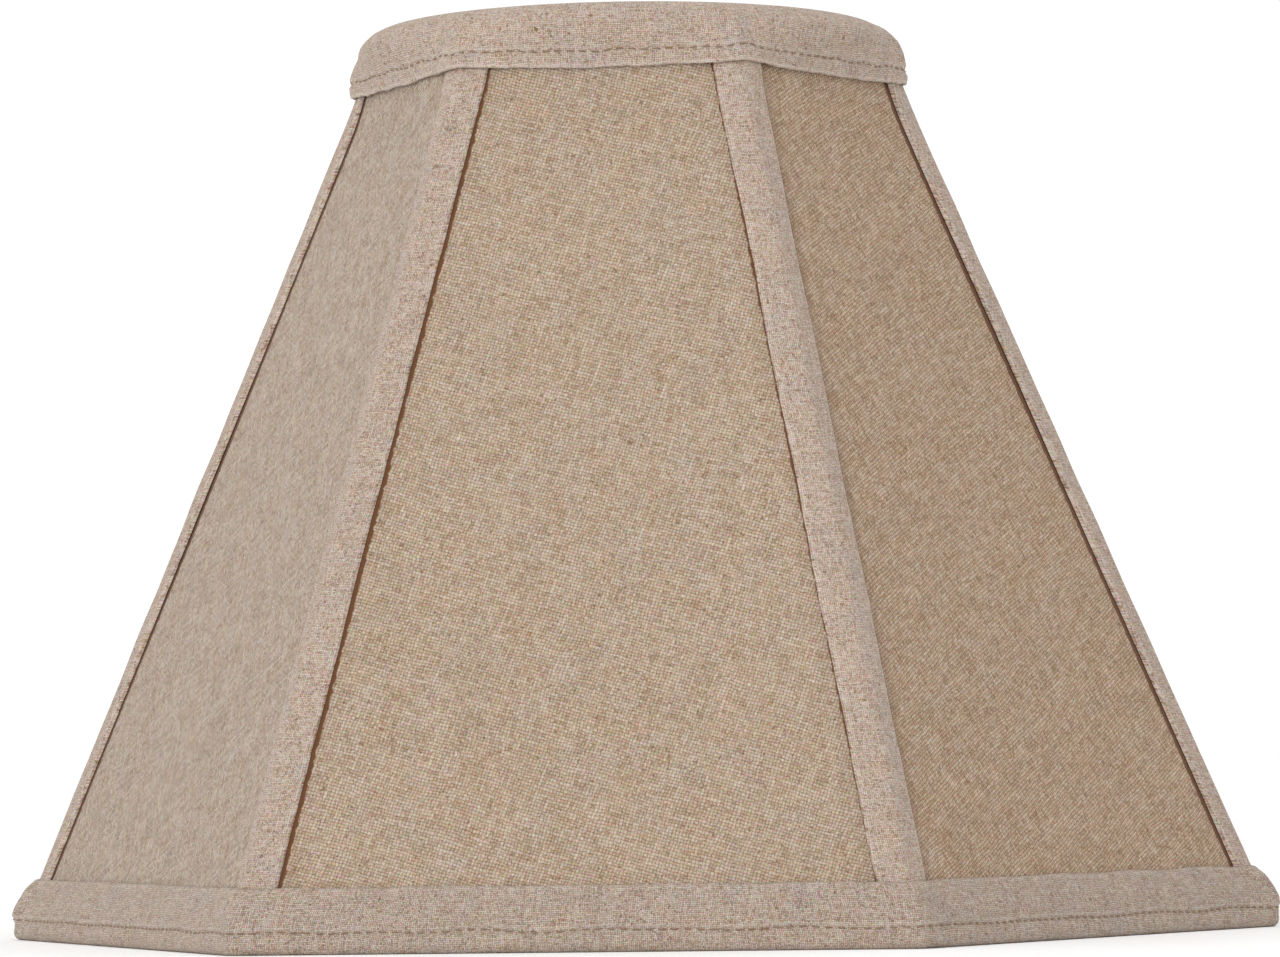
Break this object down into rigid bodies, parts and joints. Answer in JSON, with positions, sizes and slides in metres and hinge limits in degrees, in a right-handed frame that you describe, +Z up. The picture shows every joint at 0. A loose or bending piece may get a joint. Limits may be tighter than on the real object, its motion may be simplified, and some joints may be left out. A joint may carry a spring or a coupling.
{
  "type": "lamp shade",
  "caption": "Hexagonal panelled empire lamp shade in natural linen, on a wire frame with a spider fitter, rib tapes and folded bands round both rims.",
  "frame": {"origin": "centre of the bottom rim, in the plane that the shade stands on", "axes": "+Z up along the shade's axis; the hexagon has corners on +X and -X and flat sides facing -Y and +Y"},
  "size_m": [0.3788, 0.328, 0.2688],
  "materials": {
    "frame": "satin white coating on steel wire",
    "fitter": "satin",
    "linen": "natural slubby plain-weave linen",
    "backing": "matte white styrene sheet",
    "trim": "folded natural linen, fine weave",
    "thread": "matte sewing thread"
  },
  "bodies": {
    "root": {"top_ring": "frame", "bottom_ring": "frame", "rib_1": "frame", "rib_2": "frame", "rib_3": "frame", "rib_4": "frame", "rib_5": "frame", "rib_6": "frame", "fitter_washer": "fitter", "spider_arm_1": "frame", "spider_arm_2": "frame", "spider_arm_3": "frame", "linen_panel_1": "linen", "linen_panel_2": "linen", "linen_panel_3": "linen", "linen_panel_4": "linen", "linen_panel_5": "linen", "linen_panel_6": "linen", "backing_panel_1": "backing", "backing_panel_2": "backing", "backing_panel_3": "backing", "backing_panel_4": "backing", "backing_panel_5": "backing", "backing_panel_6": "backing", "rib_tape_1": "trim", "rib_tape_2": "trim", "rib_tape_3": "trim", "rib_tape_4": "trim", "rib_tape_5": "trim", "rib_tape_6": "trim", "top_band": "trim", "bottom_band": "trim", "bottom_stitching": "thread", "top_stitching": "thread"}
  },
  "joints": []
}
